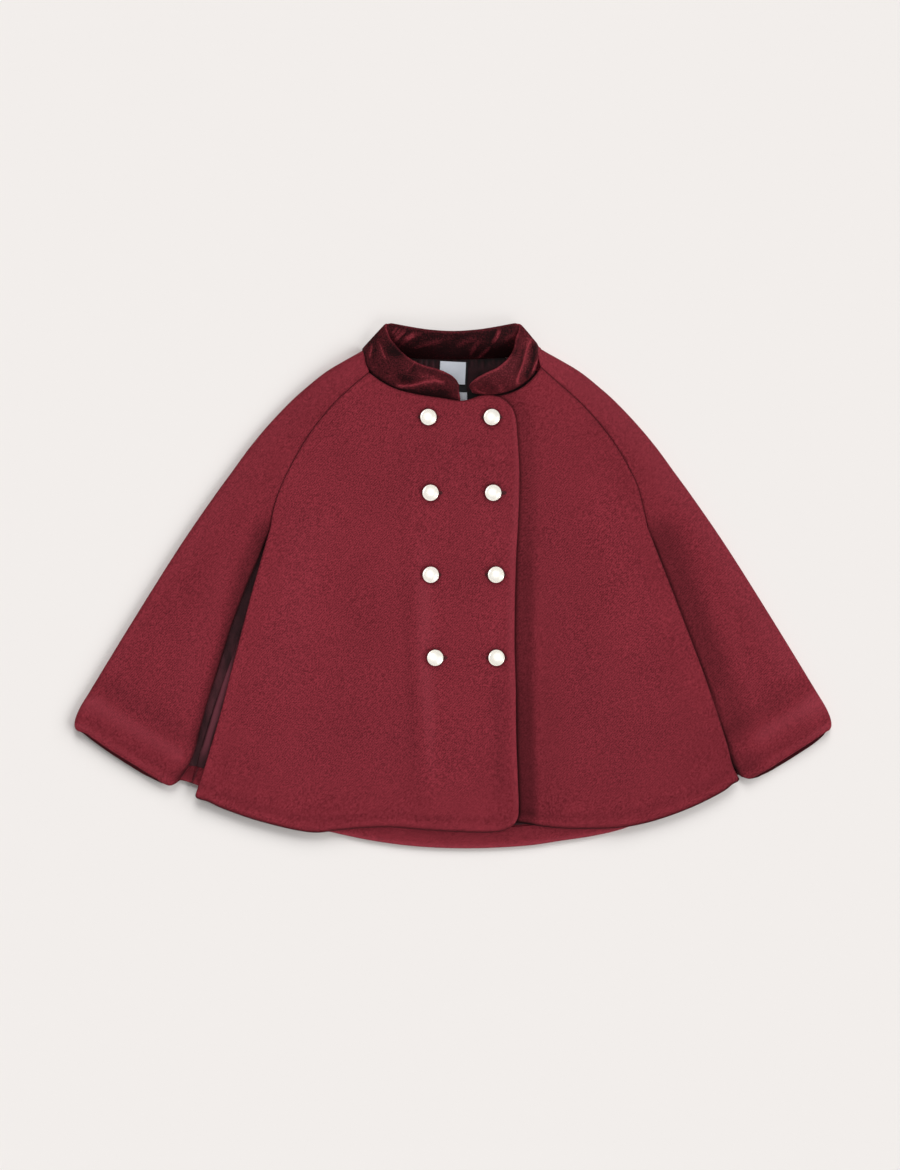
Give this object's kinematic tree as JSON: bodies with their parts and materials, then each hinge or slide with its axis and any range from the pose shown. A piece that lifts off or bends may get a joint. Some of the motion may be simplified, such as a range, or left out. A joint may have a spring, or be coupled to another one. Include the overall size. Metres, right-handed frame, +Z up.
{
  "type": "wool cape",
  "caption": "Child's double-breasted wool cape with a velvet stand collar, arm slits and domed metal buttons, laid flat on its back.",
  "frame": {"origin": "on the surface that the cape lies on, under the middle of its bounding box", "axes": "+X to the wearer's left, +Y from the hem to the neck, +Z up from the surface, out of the fronts"},
  "size_m": [0.7532, 0.5251, 0.0346],
  "materials": {
    "wool": "brushed wool twill, matte with a short nap",
    "velvet": "short-pile velvet with a soft sheen",
    "lining": "smooth satin",
    "label_white": "woven satin, bare",
    "label_grey": "woven satin, bare",
    "label_black": "matte ribbon",
    "button_metal": "polished pale gold"
  },
  "bodies": {
    "root": {"back": "wool", "side_right": "wool", "side_left": "wool", "front_left": "wool", "front_right": "wool", "facing_back_hem": "wool", "facing_side_hem_right": "wool", "lining_back": "lining", "lining_side_right": "lining", "collar_outer": "velvet", "collar_inner": "velvet", "label_size": "label_grey", "label_backing": "label_black", "label_neck": "label_white", "button_inner_1": "button_metal", "button_outer_1": "button_metal", "button_inner_2": "button_metal", "button_outer_2": "button_metal", "button_inner_3": "button_metal", "button_outer_3": "button_metal", "button_inner_4": "button_metal", "button_outer_4": "button_metal"}
  },
  "joints": []
}
